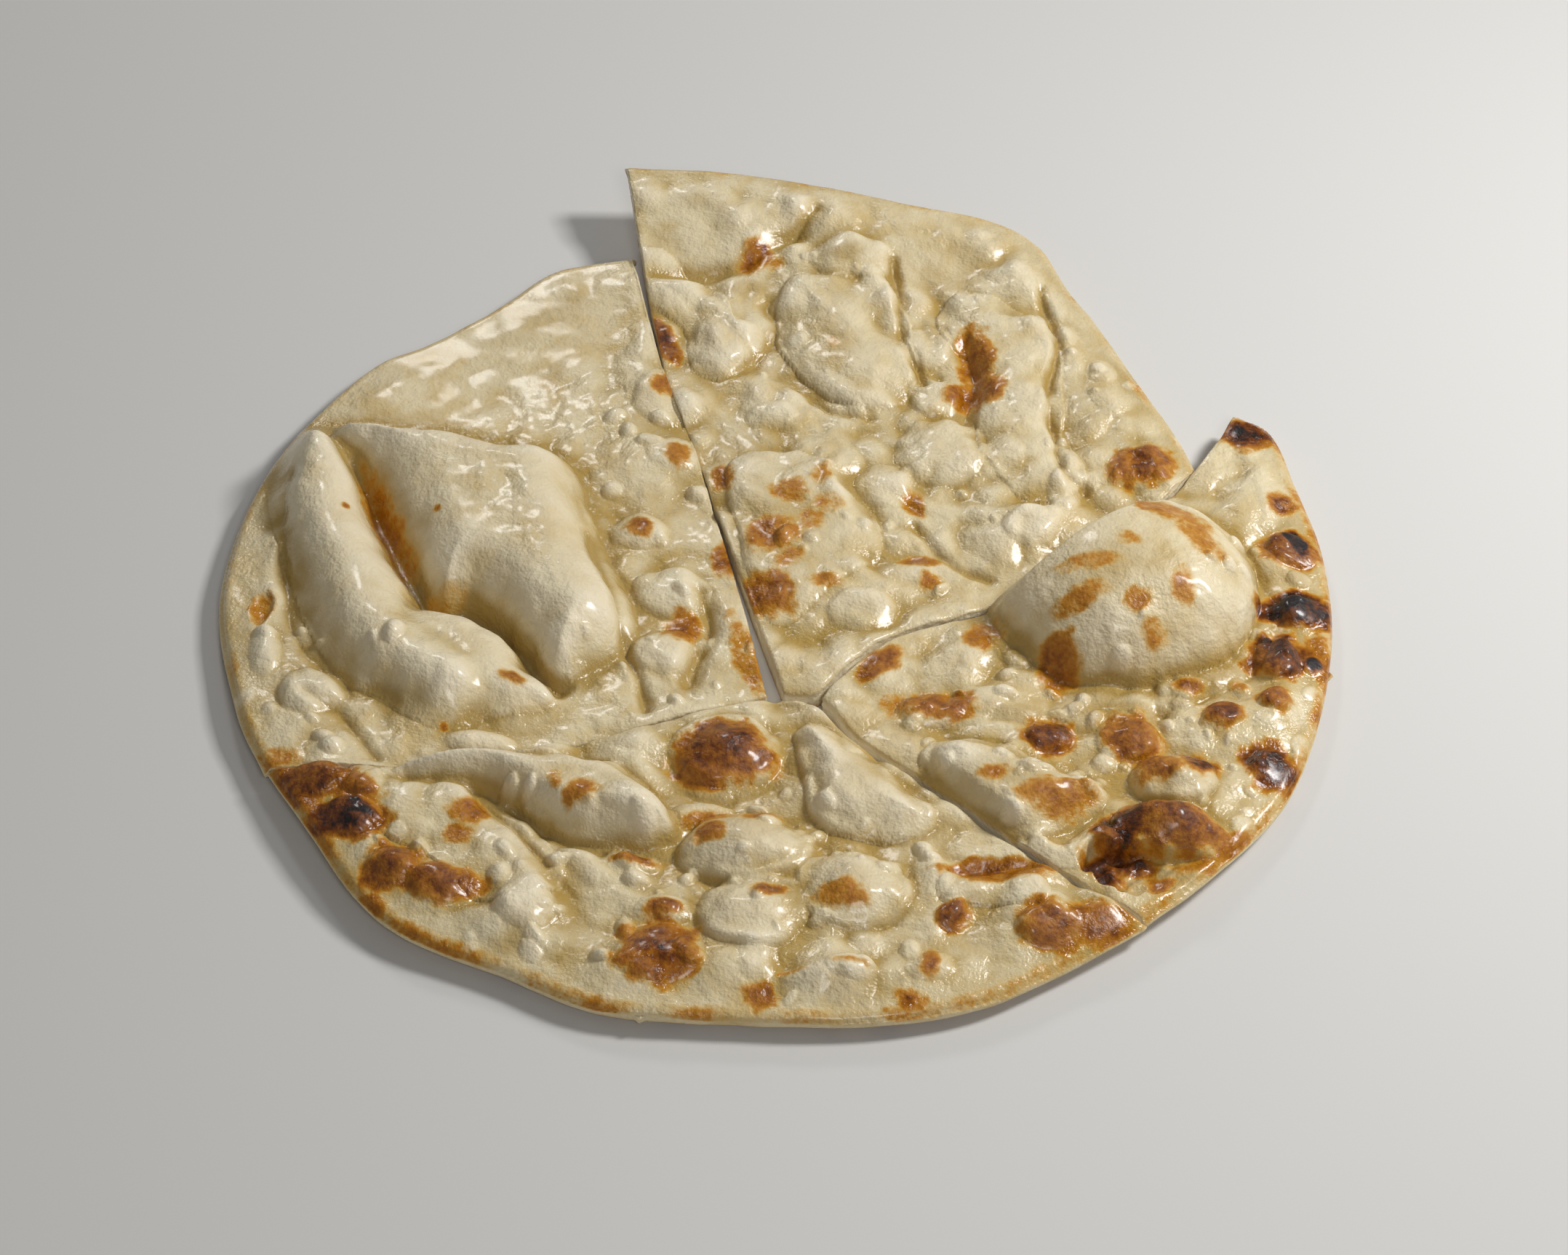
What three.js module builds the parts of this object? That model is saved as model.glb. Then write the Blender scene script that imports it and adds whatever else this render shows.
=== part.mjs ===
// A naan bread: one round of leavened dough, slapped on the wall of a tandoor, brushed with butter
// and cut crosswise into four quarters that still lie together as one loaf.
// Millimetres, +Z up. The cook's side is -Y, and the middle of the underside lies flat at Z = 0.
// Each quarter is one closed solid: a blistered top, a cut or baked edge, and an underside that is
// flat in the middle and rises a little towards the rim.
import * as THREE from 'three';

// Driving dimensions
const MIDDLE = new THREE.Vector2(0, -10); // the middle of the round, which rims are measured from
const DOUGH = 5; // thickness of plain dough between the blisters
const RIM = 3.6; // thickness of the dough at the baked rim
const RIM_BAND = 16; // how far in from the rim the dough thins
const CUT_EDGE = 4.8; // thickness of the dough along a cut
const CUT_BAND = 9; // how far in from a cut the blisters flatten
const FLAT_SHARE = 0.6; // share of the radius inside which the underside lies flat
const CURL = 1.6; // how suddenly the underside leaves the table: 1 is a straight slope
const SHOULDER = 1.3; // how full a dome is: 1 is a plain paraboloid
const TO_ORIGIN = new THREE.Vector3(1, 1.4, 0); // brings the middle of the loaf's box to X = Y = 0
const CELLS = 20; // grid cells along each side of a quarter
const SAMPLES = 100; // points along a curve when the nearest one is looked for

// Places on a cut are [x, y]. Places on a rim are [angle in degrees, radius, lift of the underside],
// turning about MIDDLE. Both cuts start at the quarter's tip, and the rim runs from the end of
// firstCut, anticlockwise seen from above, to the end of secondCut.
// A dome is { at, half: [half length, half width], turn in degrees, rise } and a roll is a rounded
// ridge { along, half, rise } that follows a curve.
const leftQuarter = {
  name: 'left_quarter',
  colour: '#e3cda0',
  firstCut: [[-3, -52], [-11, -14], [-18, 16], [-24.5, 44], [-34, 76], [-45, 125]],
  secondCut: [[-3, -52], [-22, -58.5], [-46, -67], [-79, -74.5], [-101, -78.5], [-130.5, -79]],
  rim: [[108, 143, 6], [117, 147, 5], [126, 142, 4], [136, 143, 3], [144, 148, 3], [162, 150, 3],
    [181, 150, 3], [198, 148, 4], [208, 148, 4]],
  domes: [
    { at: [-76, 2], half: [56, 35], turn: -52, rise: 13 }, // the puffed pillow
    { at: [-80, 84], half: [34, 26], turn: 20, rise: 3 },
    { at: [-34, 60], half: [15, 24], turn: 15, rise: 4 },
    { at: [-30, -2], half: [14, 30], turn: 12, rise: 3.5 },
    { at: [-22, -36], half: [16, 14], turn: 0, rise: 3 },
    { at: [-112, -66], half: [16, 10], turn: -20, rise: 3.5 },
  ],
  rolls: [{ along: [[-119, 46], [-133, 20], [-130, -20], [-112, -47], [-84, -60]], half: 15, rise: 8 }],
};

const backQuarter = {
  name: 'back_quarter',
  colour: '#ead7ae',
  firstCut: [[1.5, -51], [10, -51], [17, -43], [31, -30], [63, -15.5], [94, 7.5], [116, 32.5]],
  secondCut: [[1.5, -51], [-6.5, -22], [-17, 18], [-24, 46], [-33, 78], [-46, 157]],
  rim: [[20, 123.7, 5], [28, 126, 5], [35, 128, 6], [42, 133, 6], [49, 140, 7], [55, 147, 8],
    [61, 159, 9], [67, 162.5, 10], [76, 160, 12], [84, 161, 14], [92, 165, 15], [98, 168, 16],
    [105.5, 173, 17]],
  domes: [
    { at: [14, 84], half: [26, 24], turn: 0, rise: 6 },
    { at: [-14, 94], half: [14, 16], turn: 0, rise: 4 },
    { at: [24, 122], half: [10, 8], turn: 0, rise: 3 },
    { at: [44, 86], half: [14, 20], turn: 0, rise: 4 },
    { at: [64, 66], half: [13, 36], turn: 6, rise: 5 },
    { at: [46, 40], half: [16, 18], turn: 0, rise: 4 },
    { at: [102, 33], half: [9, 8], turn: 0, rise: 3 },
    { at: [6, 8], half: [18, 32], turn: 14, rise: 4 },
    { at: [34, 12], half: [14, 12], turn: 0, rise: 3.5 },
    { at: [20, -26], half: [12, 11], turn: 0, rise: 3 },
  ],
  rolls: [],
};

const rightQuarter = {
  name: 'right_quarter',
  colour: '#e6cf9c',
  firstCut: [[11.5, -54], [21, -67.5], [34, -80], [48, -94], [68, -113], [90, -129]],
  secondCut: [[11.5, -54], [18, -44], [32, -31], [64, -16.5], [95, 6.5], [119, 35], [130, 55]],
  rim: [[-53, 149, 4], [-44, 149, 4], [-32, 150.5, 3], [-20, 149.5, 3], [-8, 149, 3], [4, 148.5, 4],
    [14, 148, 5], [22, 150, 6], [26.6, 145, 6]],
  domes: [
    { at: [97, -19], half: [38, 34], turn: 16, rise: 22 }, // the great blown bubble
    { at: [61, -90], half: [21, 15], turn: -10, rise: 8 },
    { at: [84, -108], half: [20, 11], turn: 10, rise: 6 }, // the burst blister
    { at: [41, -56], half: [22, 13], turn: 20, rise: 3 },
    { at: [101, -83], half: [12, 10], turn: 0, rise: 5 },
    { at: [90, -68], half: [8, 7], turn: 0, rise: 4 },
    { at: [138, -2], half: [9, 10], turn: 0, rise: 4 },
    { at: [136, -40], half: [10, 9], turn: 0, rise: 4 },
  ],
  rolls: [],
};

const frontQuarter = {
  name: 'front_quarter',
  colour: '#e4cc9b',
  firstCut: [[1, -53], [-22, -59.7], [-46, -68.2], [-79, -75.7], [-101, -79.8], [-129.5, -80.4]],
  secondCut: [[1, -53], [9.5, -57], [19, -69.5], [33, -81], [47, -95], [67.4, -114], [89, -130]],
  rim: [[208.5, 147.4, 5], [218, 148, 6], [227, 152, 5], [234, 153, 4], [244, 150, 3], [254, 152, 3],
    [266, 149.5, 3], [278, 151, 3], [288, 152, 3], [297, 150, 3], [306.6, 149.7, 4]],
  domes: [
    { at: [-64, -92], half: [42, 13], turn: -12, rise: 8 }, // the long crescent bubble
    { at: [-14, -72], half: [25, 14], turn: 10, rise: 8 }, // the toasted bubble by the tip
    { at: [-8, -106], half: [19, 12], turn: -6, rise: 7 },
    { at: [23, -90], half: [15, 17], turn: -30, rise: 7 },
    { at: [18, -121], half: [15, 12], turn: 0, rise: 6 },
    { at: [-8, -130], half: [13, 9], turn: 0, rise: 4 },
    { at: [-29, -141], half: [14, 8], turn: -6, rise: 4 },
    { at: [-112, -86], half: [12, 10], turn: -40, rise: 5 },
    { at: [-94, -113], half: [11, 9], turn: -50, rise: 4 },
    { at: [64, -128], half: [14, 8], turn: 36, rise: 4 },
  ],
  rolls: [],
};

const smooth = THREE.MathUtils.smoothstep;
const plan = (places) => places.map(([x, y]) => new THREE.Vector2(x, y));

// Each place on a rim becomes a point of a curve whose height is the lift of the underside there.
function rimCurve(places) {
  const points = places.map(([degrees, radius, lift]) => {
    const angle = THREE.MathUtils.degToRad(degrees);
    return new THREE.Vector3(
      MIDDLE.x + radius * Math.cos(angle), MIDDLE.y + radius * Math.sin(angle), lift);
  });
  return new THREE.CatmullRomCurve3(points, false, 'centripetal');
}

// Fills the four-sided patch between the two cuts and the two halves of the rim.
function patch(quarter) {
  const first = new THREE.SplineCurve(plan(quarter.firstCut));
  const second = new THREE.SplineCurve(plan(quarter.secondCut));
  const rim = rimCurve(quarter.rim);
  const flat = (point) => new THREE.Vector2(point.x, point.y);
  const tip = first.getPointAt(0);
  const ends = [flat(rim.getPointAt(0)), flat(rim.getPointAt(1)), flat(rim.getPointAt(0.5))];
  return (u, v) => {
    const place = new THREE.Vector2();
    place.addScaledVector(first.getPointAt(u), 1 - v);
    place.addScaledVector(flat(rim.getPointAt(1 - u / 2)), v);
    place.addScaledVector(second.getPointAt(v), 1 - u);
    place.addScaledVector(flat(rim.getPointAt(v / 2)), u);
    place.addScaledVector(tip, -(1 - u) * (1 - v));
    place.addScaledVector(ends[0], -u * (1 - v));
    place.addScaledVector(ends[1], -(1 - u) * v);
    place.addScaledVector(ends[2], -u * v);
    return place;
  };
}

function domeRise(dome, place) {
  const away = place.clone().sub(new THREE.Vector2(...dome.at));
  away.rotateAround(new THREE.Vector2(), -THREE.MathUtils.degToRad(dome.turn));
  const share = (away.x / dome.half[0]) ** 2 + (away.y / dome.half[1]) ** 2;
  return share < 1 ? dome.rise * (1 - share) ** SHOULDER : 0;
}

function rollRise(roll, place) {
  const spine = new THREE.SplineCurve(plan(roll.along)).getSpacedPoints(SAMPLES);
  const away = Math.min(...spine.map((point) => point.distanceTo(place)));
  return roll.rise * (1 - smooth(away, 0, roll.half));
}

// The underside's height: nothing in the middle, the rim's own lift at the rim.
function underside(rim, place) {
  const away = place.clone().sub(MIDDLE);
  const reach = away.length();
  let nearest = rim[0];
  let least = Infinity;
  for (const point of rim) {
    const gap = Math.abs(angleBetween(away, new THREE.Vector2(point.x, point.y).sub(MIDDLE)));
    if (gap < least) [nearest, least] = [point, gap];
  }
  const radius = Math.hypot(nearest.x - MIDDLE.x, nearest.y - MIDDLE.y);
  const share = THREE.MathUtils.clamp((reach / radius - FLAT_SHARE) / (1 - FLAT_SHARE), 0, 1);
  return nearest.z * share ** CURL;
}

function angleBetween(a, b) {
  return Math.atan2(a.cross(b), a.dot(b));
}

function thickness(quarter, place, toCut, toRim) {
  let top = DOUGH;
  for (const dome of quarter.domes) top = Math.max(top, DOUGH + domeRise(dome, place));
  for (const roll of quarter.rolls) top = Math.max(top, DOUGH + rollRise(roll, place));
  const byRim = THREE.MathUtils.lerp(RIM, top, Math.sqrt(smooth(toRim, 0, RIM_BAND)));
  return THREE.MathUtils.lerp(Math.min(CUT_EDGE, byRim), byRim, smooth(toCut, 0, CUT_BAND));
}

// Builds the closed solid: a grid of top points, the same grid below, and a wall round the edge.
function quarterGeometry(quarter) {
  const placeAt = patch(quarter);
  const rim = rimCurve(quarter.rim).getSpacedPoints(SAMPLES);
  const cuts = [quarter.firstCut, quarter.secondCut].flatMap(
    (cut) => new THREE.SplineCurve(plan(cut)).getSpacedPoints(SAMPLES));
  const side = CELLS + 1;
  const top = [];
  const bottom = [];
  for (let j = 0; j < side; j += 1) {
    for (let i = 0; i < side; i += 1) {
      const place = placeAt(i / CELLS, j / CELLS);
      const toCut = Math.min(...cuts.map((point) => point.distanceTo(place)));
      const toRim = Math.min(...rim.map((point) => Math.hypot(point.x - place.x, point.y - place.y)));
      const low = underside(rim, place);
      bottom.push(place.x, place.y, low);
      top.push(place.x, place.y, low + thickness(quarter, place, toCut, toRim));
    }
  }
  const index = [];
  const below = side * side;
  for (let j = 0; j < CELLS; j += 1) {
    for (let i = 0; i < CELLS; i += 1) {
      const a = j * side + i;
      const [b, c, d] = [a + 1, a + side + 1, a + side];
      index.push(a, b, c, a, c, d);
      index.push(below + a, below + c, below + b, below + a, below + d, below + c);
    }
  }
  const edge = [];
  for (let i = 0; i < CELLS; i += 1) edge.push(i);
  for (let j = 0; j < CELLS; j += 1) edge.push(j * side + CELLS);
  for (let i = CELLS; i > 0; i -= 1) edge.push(CELLS * side + i);
  for (let j = CELLS; j > 0; j -= 1) edge.push(j * side);
  edge.forEach((a, k) => {
    const b = edge[(k + 1) % edge.length];
    index.push(a, below + a, below + b, a, below + b, b);
  });
  const geometry = new THREE.BufferGeometry();
  geometry.setAttribute('position', new THREE.Float32BufferAttribute([...top, ...bottom], 3));
  geometry.setIndex(index);
  geometry.computeVertexNormals();
  return geometry;
}

function quarterMesh(quarter) {
  const crust = new THREE.MeshStandardMaterial({ color: quarter.colour, roughness: 0.45, metalness: 0 });
  const mesh = new THREE.Mesh(quarterGeometry(quarter), crust);
  mesh.name = quarter.name;
  return mesh;
}

const naan = new THREE.Group();
naan.name = 'naan';
for (const quarter of [leftQuarter, backQuarter, rightQuarter, frontQuarter]) {
  naan.add(quarterMesh(quarter));
}
naan.position.copy(TO_ORIGIN);

export default naan;
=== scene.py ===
"""Naan bread, cut into four quarters that lie together, as a Blender add-on.

Each quarter starts as a square slab, added and extruded in edit mode, and is then pressed to its
plan and sculpted: bubbles, rolls, creases and small blisters are laid on the top, the rim is
rounded, and the cut faces keep their crumb. The browning, the butter, the painted shade in the
hollows and the painted light on the raised tops are written on the mesh as attributes, which
the crust's material reads.
"""

import math

import bpy
import numpy as np
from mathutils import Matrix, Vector


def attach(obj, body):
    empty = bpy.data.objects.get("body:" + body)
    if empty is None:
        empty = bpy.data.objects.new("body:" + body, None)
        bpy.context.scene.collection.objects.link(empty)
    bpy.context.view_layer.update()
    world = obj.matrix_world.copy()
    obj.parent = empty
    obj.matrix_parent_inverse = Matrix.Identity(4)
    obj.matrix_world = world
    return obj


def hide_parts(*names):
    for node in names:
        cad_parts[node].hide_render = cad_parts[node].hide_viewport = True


bl_info = {
    "name": "Naan Bread",
    "version": (1, 0, 0),
    "blender": (4, 5, 0),
    "location": "3D View > Sidebar > Naan",
    "description": "Models a naan that is cut into four quarters, around its packed CAD frame",
    "category": "Add Mesh",
}

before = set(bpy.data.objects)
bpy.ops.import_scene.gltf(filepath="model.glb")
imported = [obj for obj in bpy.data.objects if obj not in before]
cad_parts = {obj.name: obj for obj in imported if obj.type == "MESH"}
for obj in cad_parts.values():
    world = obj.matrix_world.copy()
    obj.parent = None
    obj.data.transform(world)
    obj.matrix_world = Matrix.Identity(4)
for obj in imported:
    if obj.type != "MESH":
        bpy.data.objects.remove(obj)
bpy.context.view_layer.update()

# All shaping is done in millimetres, in the plan that the quarters below are given in.
MM = 0.001
MIDDLE = np.array([0.0, -10.0])  # the middle of the round, which rims are measured from
TO_ORIGIN = np.array([1.0, 1.4])  # brings the middle of the loaf's box to X = Y = 0

CELLS = 128  # cells along each side of the slab before its top is divided once more
FINE = 2 * CELLS  # cells along each side of the finished top
RINGS = 5  # rings of wall faces round the slab; the upper ones are divided with the top

FLAT_SHARE = 0.6  # share of the radius inside which the underside lies flat
CURL = 1.6  # how suddenly the underside leaves the table
THINNEST = 2.0  # the least height that is left where valleys and creases meet
CRUMB_LEFT = 1.2  # the least height that is left under a burst bubble

SMALL_RISE = 5  # a bubble lower than this rides on whatever lies under it
GREAT_RISE = 12  # a bubble higher than this has steeper sides
SOFT_JOIN = 3.0  # how wide the valley beside a puff or a roll is rounded
SHARP_JOIN = 1.6  # how wide the valley beside a bubble is rounded

RIM_TAPER = 15.0  # how far from the rim the dough reaches its full height
RIM_ROUND = 2.4  # how far from the rim its upper edge is rounded
RIM_BELLY = 1.3  # how far the wall bulges at the rim
KNIFE_REACH = 5.0  # how far from a cut the knife has pressed the dough down
KNIFE_TEAR = 0.35  # how rough the knife has left the wall of a cut

# Lumps laid over each other, each as (height, size across).
WANDER = ((1.6, 19), (0.4, 7))  # how far the shapes stray from their smooth outlines
FRAY = ((1.5, 3.7),)  # how much further a torn edge strays
WRINKLES = ((0.36, 6.5), (0.20, 3.4), (0.04, 1.9))  # the skin of the crust
FLAKES = ((1.3, 4.3), (0.8, 2.3))  # the crumb in a burst bubble
RAGGED = ((0.22, 6.5), (0.12, 2.6))  # the edge of a browned or golden place, in shares of its size

SPREAD = 1.5  # how much larger than its own oval a spot browns
EDGE = 4.0  # how wide a spot's edge is, against the sum of its half length and half width

# A place on a cut is (x, y). A place on a rim is (degrees, radius, lift of the underside), turning
# about MIDDLE. Cuts start at the quarter's tip; the rim runs anticlockwise from the end of
# first_cut to the end of second_cut.
# puffs    (outline, rise, shoulder): a blown area with a closed outline
# domes    (x, y, half length, half width, turn, rise): a bubble
# tears    (outline, height): a burst bubble, torn open down to crumb of that height
# rolls    (along, half width, rise): a rounded ridge
# creases  (along, half width, depth): a fold pressed into the dough
# spots    (x, y, half length, half width, turn, darkness): browning, up to 1 for charred
# golds    (x, y, half length, half width, turn, strength): butter-soaked, yellow dough
# dry      (x, y, half length, half width, turn, strength): floury dough that the butter missed
# lively: how strongly the plain dough has swelled between its named bubbles
# toasted: how brown the very rim has baked
# blisters (count, x, y, reach): small pale blisters strewn round a place
LEFT = {
    "name": "left_quarter",
    "slot": "left_crust",
    "lively": 0.9,
    "toasted": 0.3,
    "first_cut": [(-3, -52), (-11, -14), (-18, 16), (-24.5, 44), (-34, 76), (-45, 125)],
    "second_cut": [(-3, -52), (-22, -58.5), (-46, -67), (-79, -74.5), (-101, -78.5), (-130.5, -79)],
    "rim": [(108, 143, 6), (117, 147, 5), (126, 142, 4), (136, 143, 3), (144, 148, 3),
            (162, 150, 3), (181, 150, 3), (198, 148, 4), (208, 148, 4)],
    "puffs": [
        ([(-127, 48), (-104, 51), (-80, 45), (-60, 38), (-49, 7), (-38, -29), (-58, -48),
          (-73, -29), (-84, -20), (-95, -17), (-110, 17)], 14, 18),
        ([(-100, -22), (-84, -23), (-73, -31), (-60, -49), (-63, -58), (-86, -62), (-104, -52),
          (-108, -36)], 8, 13),
    ],
    "rolls": [
        ([(-130, 37), (-126, 20), (-122, 4), (-113, -18), (-103, -38), (-86, -50)], 15, 12),
        ([(-120, 42), (-102, 41), (-84, 35)], 11, 8),
    ],
    "creases": [
        ([(-127, 46), (-118, 31), (-110, 14), (-101, -6), (-93, -19), (-83, -21), (-72, -31),
          (-58, -49)], 6, 5),
        ([(-136, 26), (-134, -8), (-126, -36), (-114, -50)], 4, 1.5),
        ([(-123, -53), (-115, -59), (-103, -75)], 3, 1.5),
        ([(-52, 4), (-45, -18), (-41, -34), (-35, -57)], 3, 2),
        ([(-20, -14), (-20, -30), (-24, -46)], 5, 3),
    ],
    "domes": [
        (-32, 66, 10, 12, 0, 3), (-30, 42, 8, 8, 0, 2), (-39, 10, 8, 7, 0, 3),
        (-28, -14, 11, 9, 0, 3.5), (-31, -36, 9, 9, 0, 3), (-122, -52, 9, 8, 0, 3.5),
        (-136, -38, 5, 9, 0, 2), (-138, -22, 3, 7, 0, -2.5), (-77, -69, 10, 4, -6, 2.5),
    ],
    # The spots at (-108, 12) and (-91, -17) and the first three golds lie along the creases: partly
    # browning and butter, partly painted shade in the crease.
    "spots": [
        (-32, 70, 4, 4, 0, 0.6), (-29, 40, 3, 4, 0, 0.55), (-39, 10, 3, 3, 0, 0.6),
        (-13, 0, 4, 5, 0, 0.65), (-27, -27, 4, 4, 40, 0.6), (-8, -40, 13, 3, -72, 0.4),
        (-69, -50, 3, 2, -20, 0.55), (-93, 8, 1, 1, 0, 0.55), (-118, 10, 1, 1, 0, 0.6),
        (-87, -65, 1, 1, 0, 0.6), (-138, -22, 3, 5, 0, 0.4), (-108, 12, 16, 3, -65, 0.42),
        (-91, -17, 6, 2, 0, 0.26), (-130, -77, 6, 3, 0, 0.4),
    ],
    "golds": [
        (-106, 13, 25, 8, -65, 0.8), (-90, -17, 11, 5, -10, 0.65), (-130, -7, 26, 4, -70, 0.5),
        (-70, 100, 26, 8, 34, 0.35), (-19, -44, 10, 9, 0, 0.45), (-34, 24, 8, 7, 0, 0.3),
        (-62, -62, 9, 4, 0, 0.35),
    ],
    "dry": [(-88, 80, 54, 24, 34, 1.0), (-96, 6, 36, 15, -53, 0.8), (-117, -8, 28, 8, -69, 0.4),
            (-50, -24, 18, 8, -62, 0.4)],
    "tears": [],
    "blisters": [(9, -30, 34, 30), (12, -28, -28, 26), (10, -120, -52, 26)],
    "seed": 11,
}

BACK = {
    "name": "back_quarter",
    "slot": "back_crust",
    "lively": 1.6,
    "toasted": 0.25,
    "first_cut": [(1.5, -51), (10, -51), (17, -43), (31, -30), (63, -15.5), (94, 7.5), (116, 32.5)],
    "second_cut": [(1.5, -51), (-6.5, -22), (-17, 18), (-24, 46), (-33, 78), (-46, 157)],
    "rim": [(20, 123.7, 5), (28, 126, 5), (35, 128, 6), (42, 133, 6), (49, 140, 7), (55, 147, 8),
            (61, 159, 9), (67, 162.5, 10), (76, 160, 12), (84, 161, 14), (92, 165, 15),
            (98, 168, 16), (105.5, 173, 17)],
    "puffs": [
        ([(2, 112), (14, 115), (30, 110), (36, 92), (40, 72), (28, 60), (12, 68), (0, 88)], 6.5, 18),
        ([(-14, 34), (4, 42), (22, 22), (28, 2), (18, -10), (-2, -26), (-10, 2)], 4.5, 12),
    ],
    "rolls": [
        ([(58, 95), (68, 84), (70, 64), (68, 46), (75, 32)], 12, 4.8),
        ([(-38, 118), (-22, 100), (-18, 82)], 8, 3),
        ([(28, 114), (34, 98), (34, 84)], 4, 2),
    ],
    "creases": [
        ([(-38, 116), (-12, 122), (4, 132), (12, 140)], 6, 3.5),
        ([(34, 122), (36, 104), (36, 87), (42, 72)], 3, 2.5),
        ([(78, 108), (80, 80), (77, 53), (80, 31), (86, 24)], 3, 2.5),
        ([(54, 88), (56, 70), (52, 54)], 5, 2),
        ([(5, 70), (14, 60), (26, 56)], 3, 1.5),
        ([(38, 12), (46, -2), (56, -8)], 3, 1.5),
    ],
    "domes": [
        (22, 122, 13, 9, 0, 4.5), (-14, 90, 11, 10, 0, 3), (42, 86, 8, 8, 0, 3), (45, 66, 8, 9, 0, 3),
        (46, 42, 13, 15, 0, 4.4), (30, 28, 8, 10, 0, 3), (62, 38, 7, 9, 0, 2), (22, -22, 9, 8, 0, 3),
        (80, 24, 6, 9, 0, 3), (70, 10, 10, 8, 30, 3), (93, 73, 5, 5, 0, 1.5),
        (102, 33, 10, 9, 20, 2), (-2, 58, 7, 5, 0, 2),
    ],
    "spots": [
        (-8, 124, 4, 4, 0, 0.6), (-2, 121, 3, 2, 0, 0.4), (57, 77, 4, 11, 5, 0.55),
        (61, 64, 4, 4, 0, 0.6), (52, 66, 4, 4, 0, 0.6), (38, 20, 3, 4, 0, 0.5),
        (-2, 6, 6, 5, 0, 0.55), (-3, -16, 6, 6, 0, 0.65), (4, 23, 4, 4, 0, 0.42),
        (2, -4, 4, 3, 30, 0.42), (8, 10, 3, 4, 0, 0.4),
        (12, 29, 3, 4, 0, 0.35), (13, 17, 4, 3, 20, 0.35), (14, -12, 4, 2, 0, 0.4),
        (-16, 30, 3, 4, 0, 0.6), (39, -2, 5, 2, 0, 0.55), (40, -10, 3, 3, 0, 0.5),
        (102, 33, 7, 6, 20, 0.7), (-34, 90, 8, 3, -70, 0.75), (16, 84, 2, 2, 0, 0.3),
    ],
    "golds": [
        (19, 122, 10, 5, 0, 0.65), (16, 84, 9, 12, 0, 0.35), (57, 70, 10, 16, 0, 0.45),
        (86, 55, 14, 24, 20, 0.3), (102, 33, 12, 11, 0, 0.6), (2, 6, 18, 24, 0, 0.4),
        (-22, 143, 8, 4, 0, 0.4), (-10, 112, 18, 5, 10, 0.5), (60, -4, 14, 6, 25, 0.4),
    ],
    "dry": [(-28, 128, 14, 18, 0, 0.5), (44, 120, 16, 10, 0, 0.5)],
    "tears": [],
    "blisters": [(16, 96, 58, 30), (10, 30, 10, 30), (6, 20, 100, 45)],
    "seed": 23,
}

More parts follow.
